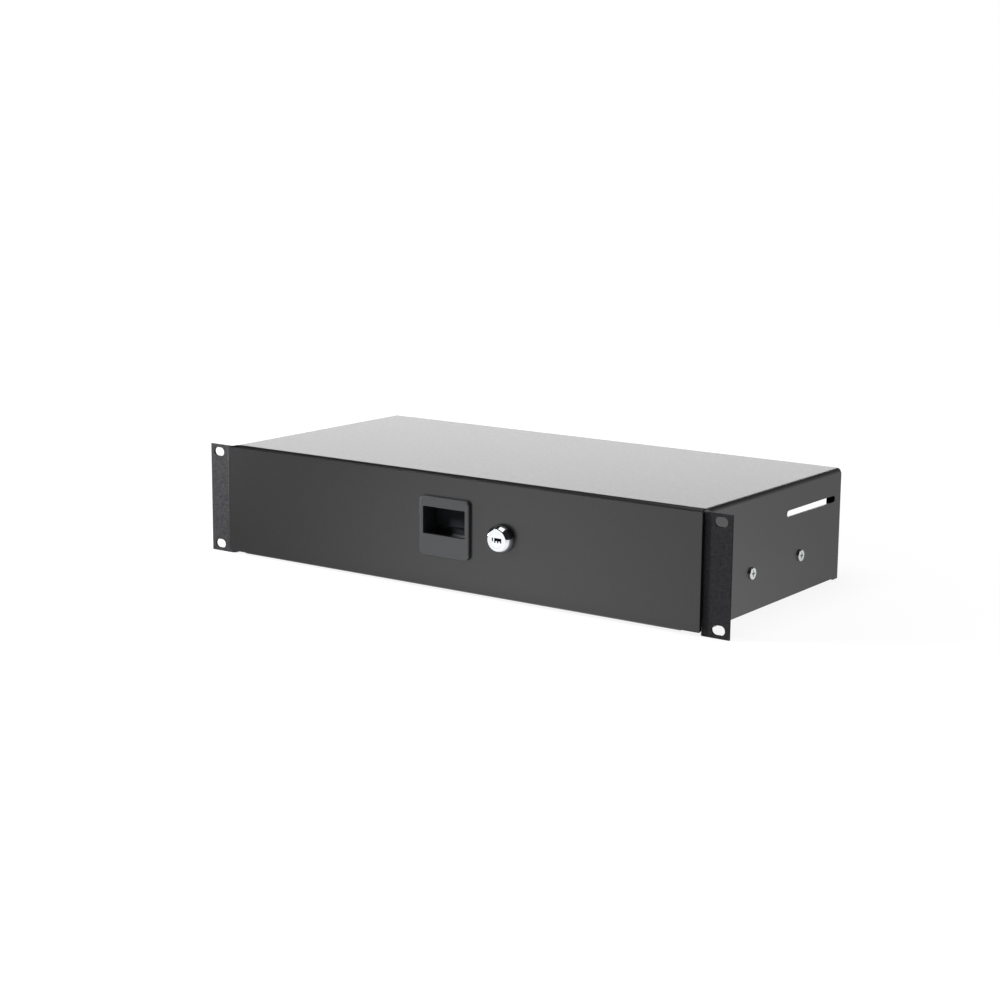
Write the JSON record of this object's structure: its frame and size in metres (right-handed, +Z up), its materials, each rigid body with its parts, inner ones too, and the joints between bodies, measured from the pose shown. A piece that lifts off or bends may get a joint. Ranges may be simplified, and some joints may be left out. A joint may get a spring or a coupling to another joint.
{
  "type": "sliding rack drawer",
  "caption": "Shallow lockable drawer on ball-bearing slides for a 19-inch rack, with rack ears, flush pull latch and cam lock.",
  "frame": {"origin": "centre of the four rack slots, in the plane of the ears' rear faces that bear on the rack rails", "axes": "+X to the right seen from the front, +Y back into the rack, +Z up"},
  "size_m": [0.4826, 0.2261, 0.0886],
  "materials": {
    "black_powder_coat": "satin black powder coat on steel",
    "black_plastic": "satin black moulded plastic",
    "zinc_plate": "bright zinc plate",
    "chrome_plate": "polished chrome plate",
    "bearing_steel": "polished steel",
    "spring_steel": "drawn wire"
  },
  "bodies": {
    "case": {"case_shell": "black_powder_coat", "latch_keeper": "black_powder_coat", "right_slide_outer": "zinc_plate", "left_slide_outer": "zinc_plate", "slide_case_screws": "zinc_plate"},
    "drawer": {"tray": "black_powder_coat", "front_panel": "black_powder_coat", "panel_studs": "zinc_plate", "panel_nuts": "zinc_plate", "right_slide_inner": "zinc_plate", "left_slide_inner": "zinc_plate", "slide_tray_screws": "zinc_plate", "latch_housing": "black_plastic", "latch_pin": "bearing_steel", "latch_spring": "spring_steel", "lock_housing": "chrome_plate", "lock_washer": "zinc_plate", "lock_nut": "zinc_plate"},
    "latch_lever": {"latch_lever": "black_plastic"},
    "lock_cylinder": {"lock_plug": "chrome_plate", "lock_cam": "zinc_plate", "cam_screw": "zinc_plate"},
    "left_slide_middle": {"left_slide_middle": "zinc_plate"},
    "left_outer_cage": {"left_outer_cage": "zinc_plate", "left_outer_balls": "bearing_steel"},
    "left_inner_cage": {"left_inner_cage": "zinc_plate", "left_inner_balls": "bearing_steel"},
    "right_slide_middle": {"right_slide_middle": "zinc_plate"},
    "right_outer_cage": {"right_outer_cage": "zinc_plate", "right_outer_balls": "bearing_steel"},
    "right_inner_cage": {"right_inner_cage": "zinc_plate", "right_inner_balls": "bearing_steel"}
  },
  "joints": [
    {"name": "drawer_slide", "type": "slide", "parent": "case", "child": "drawer", "axis": [0, -1, 0], "range_m": [0, 0.19]},
    {"name": "latch_pull", "type": "hinge", "parent": "drawer", "child": "latch_lever", "pos_m": [0.0006, 0.0022, 0.022], "axis": [-1, 0, 0], "range_deg": [0, 22], "stiffness_Nm_per_rad": 0.05, "springref_deg": -20.05},
    {"name": "lock_turn", "type": "hinge", "parent": "drawer", "child": "lock_cylinder", "pos_m": [0.0524, 0, 0.00365], "axis": [0, -1, 0], "range_deg": [0, 90]},
    {"name": "left_slide_middle_slide", "type": "slide", "parent": "case", "child": "left_slide_middle", "axis": [0, -1, 0], "range_m": [0, 0.095]},
    {"name": "left_outer_cage_slide", "type": "slide", "parent": "case", "child": "left_outer_cage", "axis": [0, -1, 0], "range_m": [0, 0.0475]},
    {"name": "left_inner_cage_slide", "type": "slide", "parent": "case", "child": "left_inner_cage", "axis": [0, -1, 0], "range_m": [0, 0.1425]},
    {"name": "right_slide_middle_slide", "type": "slide", "parent": "case", "child": "right_slide_middle", "axis": [0, -1, 0], "range_m": [0, 0.095]},
    {"name": "right_outer_cage_slide", "type": "slide", "parent": "case", "child": "right_outer_cage", "axis": [0, -1, 0], "range_m": [0, 0.0475]},
    {"name": "right_inner_cage_slide", "type": "slide", "parent": "case", "child": "right_inner_cage", "axis": [0, -1, 0], "range_m": [0, 0.1425]}
  ],
  "couplings": [
    {"joint": "left_slide_middle_slide", "follows": "drawer_slide", "ratio": 0.5},
    {"joint": "left_outer_cage_slide", "follows": "drawer_slide", "ratio": 0.25},
    {"joint": "left_inner_cage_slide", "follows": "drawer_slide", "ratio": 0.75},
    {"joint": "right_slide_middle_slide", "follows": "drawer_slide", "ratio": 0.5},
    {"joint": "right_outer_cage_slide", "follows": "drawer_slide", "ratio": 0.25},
    {"joint": "right_inner_cage_slide", "follows": "drawer_slide", "ratio": 0.75}
  ]
}
